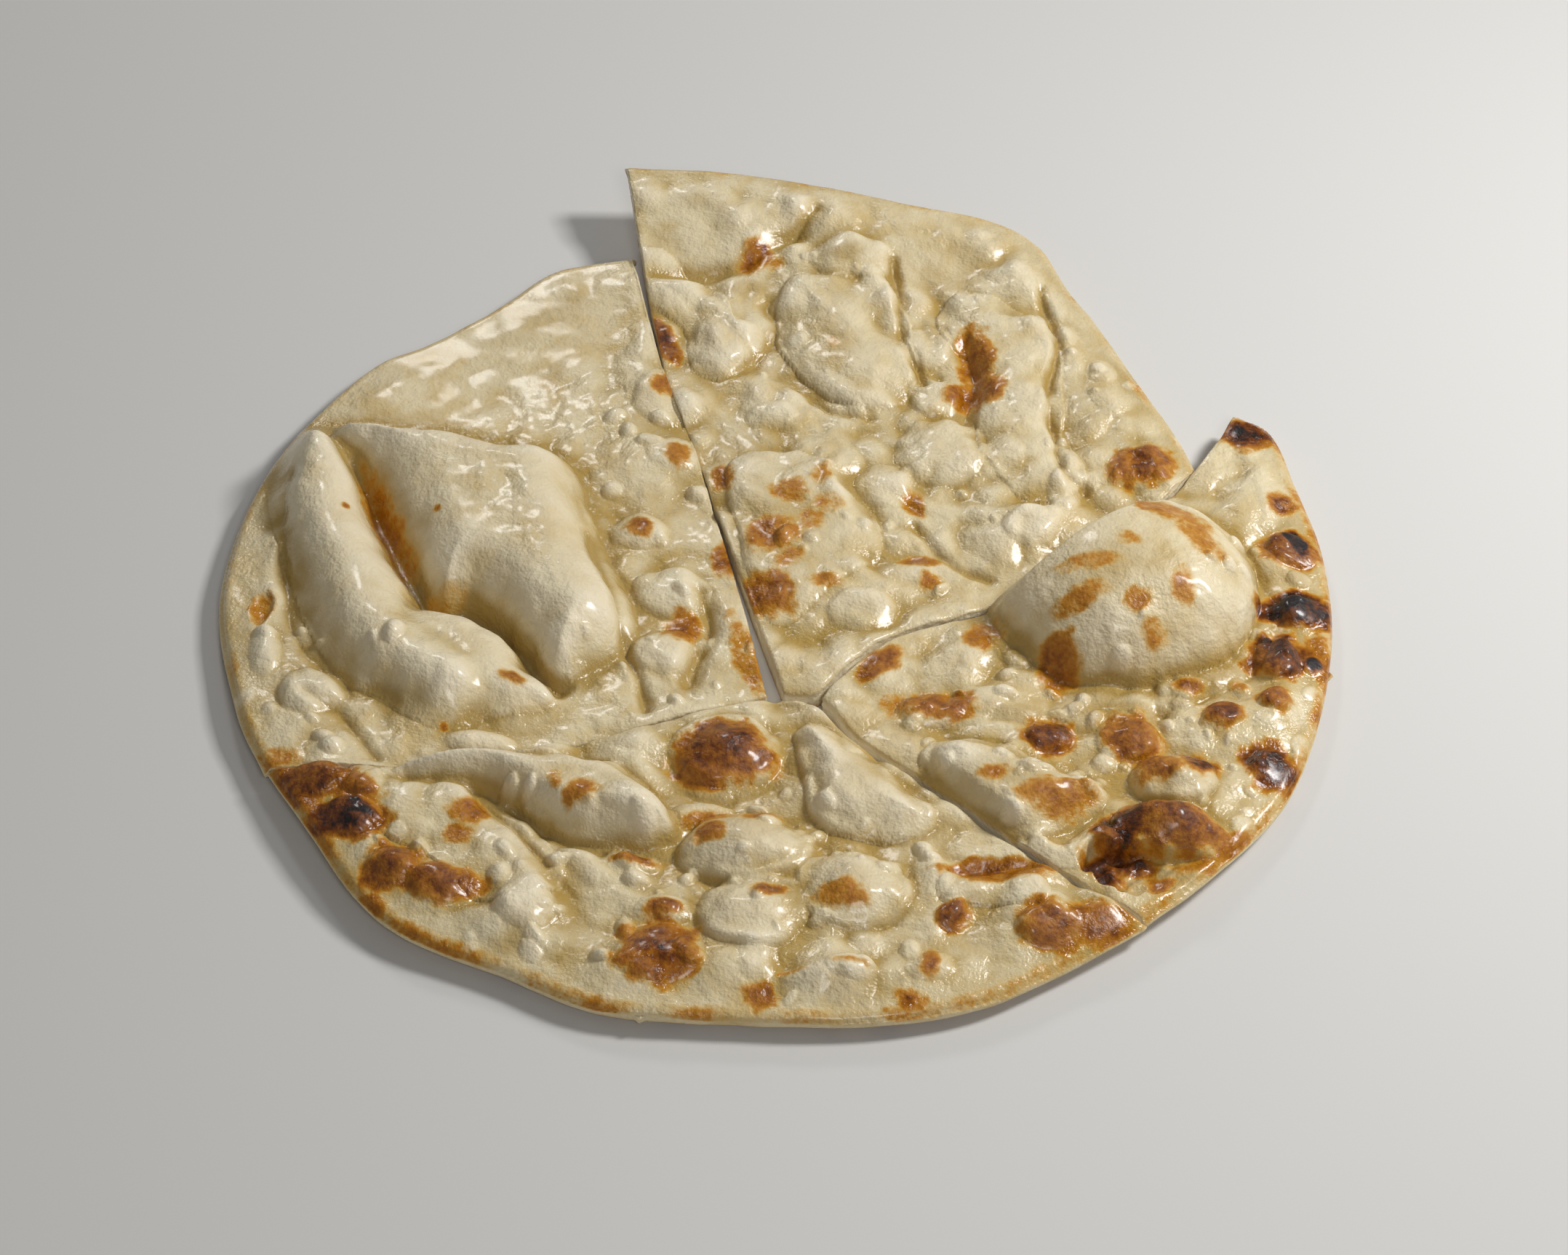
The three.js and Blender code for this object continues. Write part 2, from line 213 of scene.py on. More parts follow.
RIGHT = {
    "name": "right_quarter",
    "slot": "right_crust",
    "lively": 1.3,
    "toasted": 0.6,
    "first_cut": [(11.5, -54), (21, -67.5), (34, -80), (48, -94), (68, -113), (90, -129)],
    "second_cut": [(11.5, -54), (18, -44), (32, -31), (64, -16.5), (95, 6.5), (119, 35), (130, 55)],
    "rim": [(-53, 149, 4), (-44, 149, 4), (-32, 150.5, 3), (-20, 149.5, 3), (-8, 149, 3),
            (4, 148.5, 4), (14, 148, 5), (22, 150, 6), (26.6, 145, 6)],
    "puffs": [
        ([(36, -76), (46, -70), (62, -74), (82, -86), (82, -94), (68, -104), (54, -104), (42, -92)],
         10, 12),
    ],
    "rolls": [([(62, -108), (74, -111), (82, -106)], 4, 1.5)],
    "creases": [
        ([(108, 6), (126, -6), (134, -24), (124, -46), (100, -60)], 4, 1.5),
        ([(56, -62), (80, -66), (100, -60)], 4, 1.5),
        ([(38, -80), (46, -96), (58, -106)], 3, 2),
    ],
    "domes": [
        (93, -17, 37, 34, 18, 24), (63, -15, 7, 9, 0, 7),
        (140, 0, 7, 7, 0, 4), (139, -24, 8, 6, 0, 4), (132, -41, 7, 7, 0, 4.5), (142, -42, 4, 4, 0, 3),
        (129, -57, 5, 5, 0, 3), (115, -63, 5, 5, 0, 3.5), (108, -52, 5, 4, 0, 2.5),
        (121, -50, 3, 3, 0, 1.5), (70, -68, 6, 6, 0, 4), (90, -69, 9, 8, 0, 5),
        (101, -84, 11, 9, 0, 7), (126, -80, 7, 6, 0, 2.5), (134, -71, 3, 3, 0, 1.5),
        (99, -102, 15, 9, -12, 9.5), (81, -109, 8, 9, 20, 3), (40, -58, 9, 7, 0, 3), (52, -54, 8, 6, 0, 2),
    ],
    "tears": [
        ([(78, -105), (86, -106), (96, -109), (107, -109), (113, -113), (103, -119), (93, -123),
          (83, -122), (75, -113)], 2.2),
    ],
    "spots": [
        (87, 5, 12, 4, -4, 0.44), (103, 0, 9, 4, -30, 0.46), (113, -10, 4, 8, 15, 0.42),
        (82, -23, 6, 2, 0, 0.4), (79, -33, 6, 3, 20, 0.42), (94, -35, 3, 3, 0, 0.5),
        (106, -31, 3, 4, 0, 0.48), (98, -43, 3, 3, 0, 0.35), (93, -17, 3, 2, 0, 0.4),
        (110, -10, 2, 2, 0, 0.4), (73, -46, 5, 5, 0, 0.6), (42, -57, 7, 5, 0, 0.62),
        (54, -31, 4, 4, 0, 0.55), (27, -41, 6, 3, 40, 0.66), (32, -56, 4, 4, 0, 0.35),
        (132, 46, 6, 5, 0, 0.9), (140, 18, 4, 3, 0, 0.65), (140, 0, 7, 6, 0, 0.7),
        (142, 2, 3, 5, 10, 1.0), (139, -23, 8, 5, 0, 1.0), (133, -40, 7, 6, 0, 0.85),
        (142, -42, 3, 3, 0, 1.0), (129, -57, 4, 4, 0, 0.65), (115, -63, 4, 4, 0, 0.8),
        (108, -52, 3, 2, 0, 0.65), (121, -50, 2, 2, 0, 0.45), (70, -68, 5, 5, 0, 0.8),
        (90, -69, 6, 6, 0, 0.65), (97, -82, 5, 5, 0, 0.6), (107, -80, 4, 4, -20, 0.8),
        (126, -80, 6, 6, 0, 0.85), (55, -87, 4, 2, 0, 0.5), (70, -94, 7, 4, 10, 0.5),
        (87, -102, 6, 4, 10, 0.85), (99, -102, 10, 5, -12, 0.72), (81, -112, 4, 5, 20, 0.85),
        (144, -42, 3, 9, 10, 0.55), (130, -84, 3, 4, 0, 0.55), (113, -105, 6, 3, 40, 0.55),
        (104, -112, 6, 2, 35, 0.45), (95, -119, 4, 2, 35, 0.6), (88, -110, 5, 3, -15, 0.8),
    ],
    "golds": [
        (128, -12, 4, 12, 20, 0.6), (112, -52, 18, 5, 32, 0.8), (88, -60, 18, 5, -4, 0.8),
        (64, -60, 20, 5, -8, 0.5), (90, -24, 22, 13, 0, 0.45), (60, -88, 18, 8, 0, 0.5),
        (106, 0, 20, 7, -25, 0.45), (73, -46, 6, 6, 0, 0.5), (139, -10, 8, 16, 0, 0.5),
        (101, -82, 12, 12, 0, 0.4), (92, -110, 18, 10, -8, 0.9), (108, -106, 12, 5, 40, 0.8),
    ],
    "dry": [(88, -18, 18, 18, 0, 0.4), (68, -16, 8, 12, 0, 0.5)],
    "blisters": [(34, 112, -70, 38), (18, 60, -62, 26), (18, 136, -20, 26), (10, 66, -98, 22)],
    "seed": 37,
}

FRONT = {
    "name": "front_quarter",
    "slot": "front_crust",
    "lively": 1.7,
    "toasted": 0.55,
    "first_cut": [(1, -53), (-22, -59.7), (-46, -68.2), (-79, -75.7), (-101, -79.8), (-129.5, -80.4)],
    "second_cut": [(1, -53), (9.5, -57), (19, -69.5), (33, -81), (47, -95), (67.4, -114), (89, -130)],
    "rim": [(208.5, 147.4, 5), (218, 148, 6), (227, 152, 5), (234, 153, 4), (244, 150, 3),
            (254, 152, 3), (266, 149.5, 3), (278, 151, 3), (288, 152, 3), (297, 150, 3),
            (306.6, 149.7, 4)],
    "puffs": [
        ([(-98, -82), (-84, -74), (-62, -75), (-44, -78), (-30, -90), (-26, -102), (-40, -106),
          (-58, -100), (-76, -88)], 11, 9),
        ([(6, -66), (16, -68), (30, -84), (40, -98), (28, -104), (12, -100), (6, -86)], 8, 10),
    ],
    "rolls": [([(-94, -92), (-80, -100), (-66, -114)], 13, 4), ([(44, -122), (62, -122)], 5, 3)],
    "creases": [
        ([(-78, -89), (-68, -100), (-57, -113)], 3, 2),
        ([(-99, -84), (-80, -86), (-60, -100), (-44, -108)], 3, 1.5),
        ([(44, -115), (62, -112)], 4, 2.5),
    ],
    "domes": [
        (-13, -73, 15, 12, 0, 7), (-8, -107, 18, 12, 0, 8.5), (18, -121, 15, 13, 0, 8.5),
        (-6, -128, 15, 11, 0, 6.5), (-117, -85, 8, 6, 0, 5), (-106, -86, 6, 6, -20, 3),
        (-109, -99, 9, 6, 0, 4), (-96, -115, 7, 7, 0, 3), (-82, -120, 9, 6, -10, 3),
        (-20, -94, 9, 5, 0, 3), (-35, -111, 6, 4, 0, 2), (-28, -128, 7, 5, 0, 2),
        (-29, -141, 12, 9, 0, 3), (18, -147, 7, 4, 0, 2), (37, -144, 6, 5, 0, 2),
        (-62, -128, 8, 7, 0, 3), (-36, -96, 8, 5, 0, 2), (43, -130, 5, 4, 0, 2),
        (66, -133, 8, 6, 0, 3), (78, -132, 8, 6, 0, 3),
    ],
    "spots": [
        (-14, -74, 9, 7, 0, 0.75), (-18, -79, 6, 5, 0, 0.72), (-6, -77, 5, 4, 0, 0.7),
        (-49, -95, 4, 3, 20, 0.55), (-56, -91, 2, 3, 0, 0.4), (-78, -97, 4, 4, 0, 0.6),
        (-117, -86, 8, 6, 0, 0.72), (-121, -82, 6, 5, 0, 0.6), (-108, -90, 7, 4, -25, 0.6),
        (-109, -99, 8, 5, 0, 0.85), (-106, -97, 4, 3, 0, 1.0), (-96, -115, 6, 6, 0, 0.7),
        (-82, -120, 7, 4, -10, 0.7), (-80, -104, 3, 3, 0, 0.5), (-100, -127, 4, 4, 0, 0.6),
        (-18, -97, 6, 2, 0, 0.45),
        (-4, -97, 4, 2, 0, 0.5), (-17, -105, 4, 3, 0, 0.55), (27, -73, 5, 2, 0, 0.35),
        (16, -126, 5, 3, 0, 0.45), (-2, -124, 4, 2, 0, 0.7), (-35, -111, 5, 2, 0, 0.6),
        (-28, -128, 4, 2, 0, 0.65), (-29, -141, 8, 7, -10, 0.72), (-5, -154, 4, 3, 0, 0.65),
        (3, -147, 3, 1, 0, 0.45), (32, -154, 3, 3, 0, 0.65), (37, -144, 2, 4, 0, 0.6),
        (54, -115, 10, 4, 8, 0.6), (43, -130, 4, 3, 20, 0.7), (66, -133, 6, 5, 0, 0.65),
        (78, -132, 7, 5, 0, 0.65), (18, -147, 4, 1, 0, 0.45),
    ],
    "golds": [
        (-12, -74, 16, 12, 0, 0.6), (-46, -106, 12, 3, -15, 0.75), (-114, -78, 14, 12, 0, 0.6),
        (-109, -99, 12, 8, 0, 0.5), (-94, -116, 9, 9, 0, 0.5), (-29, -141, 14, 12, 0, 0.5),
        (54, -114, 13, 5, 5, 0.7), (72, -132, 14, 7, 0, 0.6), (22, -84, 8, 10, 0, 0.3),
        (-8, -104, 14, 8, 0, 0.35), (18, -122, 9, 7, 0, 0.35), (-40, -90, 10, 5, -20, 0.3),
        (-78, -104, 6, 12, 20, 0.45),
    ],
    "dry": [(-64, -84, 24, 6, -10, 0.3)],
    "tears": [],
    "blisters": [(26, 0, -135, 50), (20, -75, -115, 35), (16, 20, -90, 30)],
    "seed": 53,
}


# ---- shaping tools ---------------------------------------------------------------------------

def ease(value, low, high):
    """0 below low, 1 above high, and a smooth step between."""
    share = np.clip((value - low) / (high - low), 0.0, 1.0)
    return share * share * (3.0 - 2.0 * share)


def join(a, b, soft):
    """The higher of two heights, with the valley where they meet rounded over `soft` mm."""
    return np.maximum(a, b) + np.clip(soft - np.abs(a - b), 0.0, None) ** 2 / (4.0 * soft)


def lumps(x, y, size, seed):
    """Smooth lumps about `size` millimetres across, between about -1 and 1."""
    turns = np.random.default_rng(seed).uniform(0.0, 2.0 * math.pi, (61, 61))
    cell_x, cell_y = np.floor(x / size).astype(int), np.floor(y / size).astype(int)
    in_x, in_y = x / size - cell_x, y / size - cell_y
    total = np.zeros_like(in_x)
    for step_x in (0, 1):
        for step_y in (0, 1):
            turn = turns[(cell_x + step_x) % 61, (cell_y + step_y) % 61]
            away_x, away_y = in_x - step_x, in_y - step_y
            share = ease(1.0 - np.abs(away_x), 0.0, 1.0) * ease(1.0 - np.abs(away_y), 0.0, 1.0)
            total += share * (np.cos(turn) * away_x + np.sin(turn) * away_y)
    return total * 1.6


def cushions(x, y, size, seed):
    """Rounded swellings about `size` millimetres across, parted by narrow valleys, 0 to about 1."""
    return np.sqrt(lumps(x, y, size, seed) ** 2 + 0.004)


def roughen(start, x, y, layers, seed):
    """Adds layers of lumps to a value, each with a seed of its own."""
    for number, (height, size) in enumerate(layers):
        start = start + height * lumps(x, y, size, seed + number)
    return start


def spline(points, count, closed=False):
    """A smooth curve through the points, as `count` evenly spaced places along it."""
    knots = np.array(points, float)
    if closed:
        knots = np.vstack([knots[-1], knots, knots[:2]])
    else:
        knots = np.vstack([2 * knots[0] - knots[1], knots, 2 * knots[-1] - knots[-2]])
    share = np.linspace(0.0, 1.0, 24, endpoint=False)[:, None]
    fine = [
        0.5 * (2 * b + (c - a) * share + (2 * a - 5 * b + 4 * c - d) * share**2
               + (3 * b - a - 3 * c + d) * share**3)
        for a, b, c, d in zip(knots, knots[1:], knots[2:], knots[3:])
    ]
    fine = np.vstack(fine + [knots[-2:-1]])
    steps = np.linalg.norm(np.diff(fine, axis=0), axis=1)
    run = np.concatenate([[0.0], np.cumsum(steps)])
    even = np.linspace(0.0, run[-1], count)
    return np.column_stack([np.interp(even, run, column) for column in fine.T])


def to_line(x, y, line):
    """Each place's distance from a curve given as a row of points."""
    least = np.full(x.shape, np.inf)
    for (ax, ay), (bx, by) in zip(line[:, :2], line[1:, :2]):
        run_x, run_y = bx - ax, by - ay
        length = max(run_x * run_x + run_y * run_y, 1e-9)
        share = np.clip(((x - ax) * run_x + (y - ay) * run_y) / length, 0.0, 1.0)
        least = np.minimum(least, (x - ax - share * run_x) ** 2 + (y - ay - share * run_y) ** 2)
    return np.sqrt(least)


def inside(x, y, line):
    """Which places lie inside a closed curve."""
    within = np.zeros(x.shape, bool)
    for (ax, ay), (bx, by) in zip(line, np.roll(line, -1, axis=0)):
        crosses = (ay > y) != (by > y)
        rise = by - ay if by != ay else 1e-9
        within ^= crosses & (x < (bx - ax) * (y - ay) / rise + ax)
    return within


def oval(x, y, at_x, at_y, half_long, half_wide, turn):
    """0 at an oval's middle and 1 on its edge."""
    angle = math.radians(turn)
    along = (x - at_x) * math.cos(angle) + (y - at_y) * math.sin(angle)
    across = (y - at_y) * math.cos(angle) - (x - at_x) * math.sin(angle)
    return np.hypot(along / half_long, across / half_wide)


def depth_in(x, y, outline):
    """How far each place lies inside a closed outline, and 0 outside it."""
    edge = spline(outline, 120, closed=True)
    return np.where(inside(x, y, edge), to_line(x, y, edge), 0.0)


def beside(x, y, along, half):
    """0 on a curve, and 1 where a place lies `half` mm or more from it."""
    return np.clip(to_line(x, y, spline(along, 80)) / half, 0.0, 1.0)


def soften(field, cells):
    """Blurs a field on the grid, three box blurs deep."""
    width = 2 * cells + 1
    for axis in (0, 1, 0, 1, 0, 1):
        pad = [(cells + 1, cells) if k == axis else (0, 0) for k in (0, 1)]
        total = np.cumsum(np.pad(field, pad, mode="edge"), axis=axis)
        high = np.take(total, range(width, total.shape[axis]), axis=axis)
        low = np.take(total, range(0, total.shape[axis] - width), axis=axis)
        field = (high - low) / width
    return field


# ---- one quarter -----------------------------------------------------------------------------

def plan_of(quarter):
    """The quarter's plan: a grid of places that fills the patch between its cuts and its rim."""
    first = spline(quarter["first_cut"], FINE + 1)
    second = spline(quarter["second_cut"], FINE + 1)
    rim = spline([
        (MIDDLE[0] + radius * math.cos(math.radians(degrees)),
         MIDDLE[1] + radius * math.sin(math.radians(degrees)), lift)
        for degrees, radius, lift in quarter["rim"]
    ], 2 * FINE + 1)
    near, far = rim[: FINE + 1, :2], rim[: FINE - 1: -1, :2]
    share = np.linspace(0.0, 1.0, FINE + 1)
    u, v = share[None, :, None], share[:, None, None]
    plan = ((1 - v) * first[None, :, :] + v * far[None, :, :]
            + (1 - u) * second[:, None, :] + u * near[:, None, :]
            - (1 - u) * (1 - v) * first[0] - u * (1 - v) * first[-1]
            - (1 - u) * v * second[-1] - u * v * rim[FINE, :2])
    return plan[..., 0], plan[..., 1], first, second, rim


def underside(x, y, rim, seed):
    """The height of the underside: flat in the middle, and the rim's own lift at the rim."""
    turn = np.arctan2(rim[:, 1] - MIDDLE[1], rim[:, 0] - MIDDLE[0])
    turn = np.unwrap(turn)
    here = np.arctan2(y - MIDDLE[1], x - MIDDLE[0])
    centre = (turn[0] + turn[-1]) / 2
    here = centre + (here - centre + math.pi) % (2 * math.pi) - math.pi
    radius = np.interp(here, turn, np.hypot(rim[:, 0] - MIDDLE[0], rim[:, 1] - MIDDLE[1]))
    lift = np.interp(here, turn, rim[:, 2])
    share = np.hypot(x - MIDDLE[0], y - MIDDLE[1]) / radius
    share = np.clip((share - FLAT_SHARE) / (1 - FLAT_SHARE), 0.0, 1.0)
    ripple = 0.25 + 0.25 * lumps(x, y, 9, seed)
    return lift * share**CURL + ripple * np.clip(share * 4, 0, 1)


def strewn(quarter):
    """The small blisters, as domes: strewn by a seed round the places the quarter names."""
    draw = np.random.default_rng(quarter["seed"] + 30)
    domes = []
    for count, at_x, at_y, reach in quarter["blisters"]:
        for _ in range(count):
            angle, away = draw.uniform(0, 2 * math.pi), reach * math.sqrt(draw.uniform(0, 1))
            half = draw.uniform(1.4, 4.0)
            domes.append((at_x + away * math.cos(angle), at_y + away * math.sin(angle),
                          half, half * draw.uniform(0.6, 1.0), draw.uniform(0, 180), 0.55 * half))
    return [dome for dome in domes if all(
        oval(dome[0], dome[1], *spot[:5]) > 1 for spot in quarter["dry"])]


def calm_dough(x, y, quarter):
    """1 where floury dough has stayed flat and smooth."""
    calm = np.zeros_like(x)
    for *place, _ in quarter["dry"]:
        calm = np.maximum(calm, ease(1 - oval(x, y, *place), -0.4, 0.4))
    return calm


def blow_up(top, x, y, quarter, dough):
    """Lays on what steam has blown up: puffs, rolls, bubbles and the strewn blisters."""
    for outline, rise, shoulder in quarter["puffs"]:
        depth = depth_in(x, y, outline)
        share = np.clip(depth / shoulder, 0.0, 1.0)
        puff = dough + rise * np.sin(share * math.pi / 2) ** 0.9
        top = join(top, np.where(depth > 0, puff, 0.0), SOFT_JOIN)
    for along, half, rise in quarter["rolls"]:
        share = beside(x, y, along, half)
        top = join(top, np.where(share < 1, dough + rise * (1 - share**2) ** 1.3, 0.0), SOFT_JOIN)
    for *place, rise in quarter["domes"]:
        share = oval(x, y, *place)
        bubble = rise * np.clip(1 - share**2, 0.0, None) ** (0.62 if rise > GREAT_RISE else 0.8)
        if abs(rise) < SMALL_RISE:
            top = top + bubble
        else:
            top = join(top, np.where(share < 1, dough + bubble, 0.0), SHARP_JOIN)
    small = np.zeros_like(x)
    for *place, rise in strewn(quarter):
        share = oval(x, y, *place)
        small = np.maximum(small, rise * np.clip(1 - share**2, 0.0, None) ** 0.8)
    return top + small


def fold(top, x, y, quarter):
    """Presses the creases into the dough."""
    for along, half, depth in quarter["creases"]:
        top = top - depth * (1 - beside(x, y, along, half)) ** 1.5
    return top


def swell_up(top, x, y, quarter, calm, dough, to_rim):
    """Steam lifts the plain dough in rounded cushions with narrow valleys between them."""
    seed = quarter["seed"]
    swell = 3.4 * cushions(x, y, 25, seed + 6) + 1.2 * cushions(x, y, 11, seed + 14)
    swell = swell * quarter["lively"] * (1 - 0.75 * calm)
    smooth = 1 - 0.7 * ease(top - dough, 1.5, 5.0)  # a blown bubble is taut, so it swells less
    return np.maximum(top + swell * smooth * ease(to_rim, 0.0, 12.0), THINNEST)


def tear_open(top, x, y, warp_x, warp_y, quarter):
    """Tears each burst bubble open along a frayed edge, down to flakes of crumb."""
    seed = quarter["seed"]
    torn = np.zeros_like(x)
    fray_x = roughen(warp_x, x, y, FRAY, seed + 15)
    fray_y = roughen(warp_y, x, y, FRAY, seed + 16)
    for outline, height in quarter["tears"]:
        torn = np.maximum(torn, ease(depth_in(fray_x, fray_y, outline), 0.0, 1.2))
        flakes = roughen(height, x, y, FLAKES, seed + 17)
        top = top + torn * (np.clip(flakes, CRUMB_LEFT, top) - top)
    return top, torn


def shape_edges(top, to_rim, to_cut, lip):
    """Thins and rounds the dough at the rim, and presses it down along the cuts."""
    over = np.sqrt(1 - (1 - np.clip(to_rim / RIM_ROUND, 0, 1)) ** 2)
    thin = lip + (top - lip) * ease(to_rim, 0.0, RIM_TAPER) ** 0.6
    top = thin * (0.55 + 0.45 * over)
    pressed = np.minimum(top, 0.6 * top + 2.6)
    top = pressed + (top - pressed) * ease(to_cut, 0.0, KNIFE_REACH)
    return top - 0.5 * (1 - np.clip(to_cut / 0.9, 0, 1)) ** 2


def browning(x, y, quarter, ragged):
    """How brown the spots have baked, up to 1 for charred."""
    char = np.zeros_like(x)
    for at_x, at_y, half_long, half_wide, turn, dark in quarter["spots"]:
        near = 1 - oval(x, y, at_x, at_y, half_long * SPREAD, half_wide * SPREAD, turn) + ragged
        # The edge turns gold over a few millimetres, and the middle darkens on towards the top.
        halo = min(0.9, EDGE / (half_long + half_wide))
        baked = 0.55 * ease(near, -0.15, halo) + 0.45 * ease(near, -0.4, 0.8)
        char = np.maximum(char, 1.02 * dark * baked)
    return char


def soaking_and_hollow_shade(x, y, quarter, ragged, hollow):
    """How far the butter has gone in, in the golden places, and the painted shade in the hollows, where
    pooled butter and shade both darken the dough.
    """
    # Painted shade: the deeper a hollow, the more it takes the soaked colour, partly for butter pooled
    # there.
    soak_and_shade = np.clip(hollow * 0.7, 0, 0.85)
    for *place, strength in quarter["golds"]:
        near = 1 - oval(x, y, *place) + ragged
        soak_and_shade = np.maximum(soak_and_shade, strength * ease(near, -0.1, 0.9))
    return soak_and_shade


def brushing(x, y, warp_x, warp_y, quarter, hollow):
    """How wet the brush has left the surface with butter: less on the floury dough."""
    butter = 0.62 + 0.5 * lumps(x, y, 22, quarter["seed"] + 12) + 0.6 * hollow
    for *place, strength in quarter["dry"]:
        butter = butter - strength * ease(1 - oval(warp_x, warp_y, *place), 0.0, 0.5)
    return butter


def sculpt(quarter, sizes):
    """Works out the quarter's top and underside on its plan, with its browning, butter and the painted
    light and shade.
    """
    x, y, first, second, rim = plan_of(quarter)
    seed = quarter["seed"]
    low = underside(x, y, rim, seed)
    to_rim = to_line(x, y, rim[::4])
    to_cut = np.minimum(to_line(x, y, first[::4]), to_line(x, y, second[::4]))
    warp_x = roughen(x, x, y, WANDER, seed + 1)
    warp_y = roughen(y, x, y, WANDER, seed + 3)

    dough = sizes.dough / MM
    calm = calm_dough(x, y, quarter)
    top = dough + 0.9 * lumps(x, y, 34, seed + 5)
    top = blow_up(top, warp_x, warp_y, quarter, dough)
    top = fold(top, warp_x, warp_y, quarter)
    top = swell_up(top, warp_x, warp_y, quarter, calm, dough, to_rim)
    hollow = soften(top, 7) - top
    top = top + roughen(0.0, x, y, WRINKLES, seed + 7) * (1 - 0.85 * calm)
    top, torn = tear_open(top, x, y, warp_x, warp_y, quarter)
    top = shape_edges(top, to_rim, to_cut, sizes.rim / MM)

    ragged = roughen(0.0, x, y, RAGGED, seed + 10)
    soak_and_shade = np.maximum(soaking_and_hollow_shade(warp_x, warp_y, quarter, ragged, hollow), 0.6 * torn)
    burnt_crumb = 0.36 * torn * (0.4 + lumps(x, y, 5.0, seed + 19))
    char = np.maximum(browning(warp_x, warp_y, quarter, ragged), burnt_crumb)
    toast = (1 - ease(to_rim, 0.5, 4.5)) * (0.5 + 0.5 * lumps(x, y, 12, seed + 13))
    char = np.maximum(char, quarter["toasted"] * np.clip(toast, 0, 1))
    butter = brushing(x, y, warp_x, warp_y, quarter, hollow)
    return {
        "x": x, "y": y, "low": low, "top": low + top, "to_rim": to_rim, "to_cut": to_cut,
        "char": np.clip(char, 0, 1),
        "soak_and_shade": np.clip(soak_and_shade, 0, 1),
        "butter": np.clip(butter * (1 - 0.6 * torn), 0, 1),
        # Painted light: the raised tops, above the blurred height, are whitened as if lit.
        "painted_top_light": np.clip(-0.55 * hollow - torn, 0, 1),
    }


def slab(name):
    """A square slab of dough one unit wide: fine cells on top, rings of wall, coarse cells below."""
    bpy.ops.object.select_all(action="DESELECT")
    bpy.ops.mesh.primitive_grid_add(
        x_subdivisions=CELLS, y_subdivisions=CELLS, size=1, location=(0.5, 0.5, 0))
    piece = bpy.context.object
    piece.name = piece.data.name = name
    bpy.ops.object.transform_apply(location=True, rotation=False, scale=False)
    bpy.ops.object.mode_set(mode="EDIT")
    bpy.ops.mesh.select_all(action="SELECT")
    for _ in range(RINGS):
        bpy.ops.mesh.extrude_region_move(TRANSFORM_OT_translate={"value": (0, 0, 1)})
    bpy.ops.mesh.select_all(action="SELECT")
    bpy.ops.mesh.normals_make_consistent(inside=False)
    bpy.ops.object.mode_set(mode="OBJECT")
    select_faces(piece, lambda centre: centre[:, 2] > 1.0)
    bpy.ops.object.mode_set(mode="EDIT")
    bpy.ops.mesh.subdivide(number_cuts=1)
    bpy.ops.object.mode_set(mode="OBJECT")
    return piece


def select_faces(piece, wanted):
    """Selects the faces whose centres are wanted, and nothing else."""
    mesh = piece.data
    centre = np.empty(3 * len(mesh.polygons))
    mesh.polygons.foreach_get("center", centre)
    bpy.ops.object.mode_set(mode="EDIT")
    bpy.ops.mesh.select_mode(type="FACE")
    bpy.ops.mesh.select_all(action="DESELECT")
    bpy.ops.object.mode_set(mode="OBJECT")
    mesh.polygons.foreach_set("select", wanted(centre.reshape(-1, 3)))
    mesh.update()


def press(piece, quarter, fields):
    """Moves the slab's points to the sculpted quarter and writes its browning, butter, crumb and the
    painted light and shade as attributes.
    """
    mesh = piece.data
    place = np.empty(3 * len(mesh.vertices))
    mesh.vertices.foreach_get("co", place)
    place = place.reshape(-1, 3)
    column = np.clip(np.rint(place[:, 0] * FINE).astype(int), 0, FINE)
    row = np.clip(np.rint(place[:, 1] * FINE).astype(int), 0, FINE)
    share = np.clip(place[:, 2] / RINGS, 0.0, 1.0)
    at = {key: value[row, column] for key, value in fields.items()}

    # The wall bulges a little at the rim and is torn by the knife along a cut.
    inner_column = np.clip(column, 1, FINE - 1)
    inner_row = np.clip(row, 1, FINE - 1)
    out_x = at["x"] - fields["x"][inner_row, inner_column]
    out_y = at["y"] - fields["y"][inner_row, inner_column]
    length = np.maximum(np.hypot(out_x, out_y), 1e-6)
    cut = (at["to_cut"] < at["to_rim"]).astype(float)
    belly = np.sqrt(np.clip(1 - (2 * share - 1) ** 2, 0, 1))
    tear = KNIFE_TEAR * lumps(at["x"] + at["y"], 9 * share, 1.7, quarter["seed"] + 20)
    push = (1 - cut) * RIM_BELLY * belly + cut * tear * belly
    side = (share > 0) & (share < 1)
    x = at["x"] + np.where(side, push * out_x / length, 0)
    y = at["y"] + np.where(side, push * out_y / length, 0)
    z = at["low"] + (at["top"] - at["low"]) * share

    place[:, 0] = (x + TO_ORIGIN[0]) * MM
    place[:, 1] = (y + TO_ORIGIN[1]) * MM
    place[:, 2] = z * MM
    mesh.vertices.foreach_set("co", place.ravel())
    upper = ease(share, 0.55, 1.0)
    finish_and_painted_shading = {
        "char": at["char"] * upper,
        "soak_and_shade": at["soak_and_shade"] * upper,
        "butter": at["butter"] * upper,
        "painted_top_light": at["painted_top_light"] * upper,
        "crumb": cut * np.where(side, 1.0, 0.0) * (1 - ease(share, 0.75, 1.0)),
        "under": 1 - ease(share, 0.05, 0.45),
    }
    for name, values in finish_and_painted_shading.items():
        layer = mesh.attributes.new(name, "FLOAT", "POINT")
        layer.data.foreach_set("value", values.astype(np.float32))
    mesh.update()
    bpy.ops.object.select_all(action="DESELECT")
    piece.select_set(True)
    bpy.context.view_layer.objects.active = piece
    bpy.ops.object.shade_smooth()


